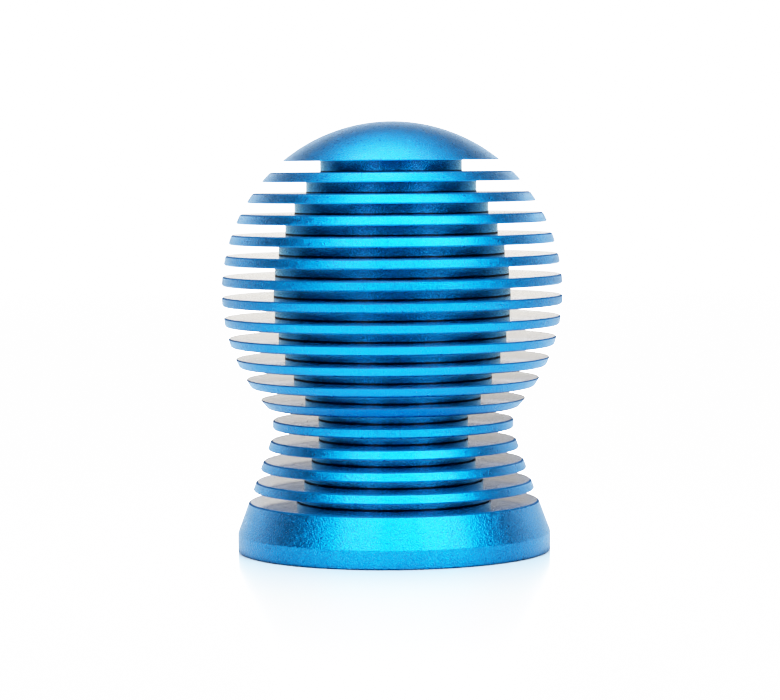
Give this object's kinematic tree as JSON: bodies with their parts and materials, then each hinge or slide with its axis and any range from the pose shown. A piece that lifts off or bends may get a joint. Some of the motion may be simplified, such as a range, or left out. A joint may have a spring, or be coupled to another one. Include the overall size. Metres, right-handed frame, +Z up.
{
  "type": "gear shift knob",
  "caption": "Turned ball shift knob with thin stacked fins over a flared neck and solid round base, and a slotted threaded adapter in its underside that takes the gear lever.",
  "frame": {"origin": "centre of the base's underside, on the turning axis", "axes": "+Z up along the turning axis, from the base to the dome; the adapter's slot runs along X"},
  "size_m": [0.05, 0.05, 0.063],
  "materials": {
    "blue_anodised": "bead-blasted and anodised blue, satin with a clear sheen",
    "turned_aluminium": "plain turned, fine lathe marks"
  },
  "bodies": {
    "root": {"knob_body": "blue_anodised", "thread_adapter": "turned_aluminium"}
  },
  "joints": []
}
